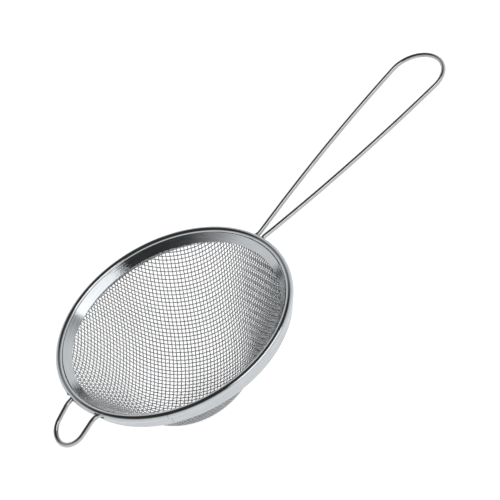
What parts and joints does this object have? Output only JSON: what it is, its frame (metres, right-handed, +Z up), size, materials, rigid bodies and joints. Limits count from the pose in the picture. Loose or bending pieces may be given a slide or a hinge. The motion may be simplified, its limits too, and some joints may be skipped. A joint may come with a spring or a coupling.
{
  "type": "tea strainer",
  "caption": "Small hand tea strainer: a woven wire bowl in a rolled steel rim, with a long looped wire handle and a short front hook that rests on a cup.",
  "frame": {"origin": "on the rim's axis, at the top of the straight wall that drops into a cup, just under the roll", "axes": "+X along the handle, away from the bowl; +Z up, out of the bowl's mouth"},
  "size_m": [0.1798, 0.08, 0.0363],
  "materials": {
    "polished_strip": "polished stainless strip",
    "woven_wire": "bright woven wire cloth",
    "polished_wire": "polished round wire"
  },
  "bodies": {
    "root": {"rim_band": "polished_strip", "inner_ring": "polished_strip", "mesh_bowl": "woven_wire", "handle_wire": "polished_wire", "hook_wire": "polished_wire"}
  },
  "joints": []
}
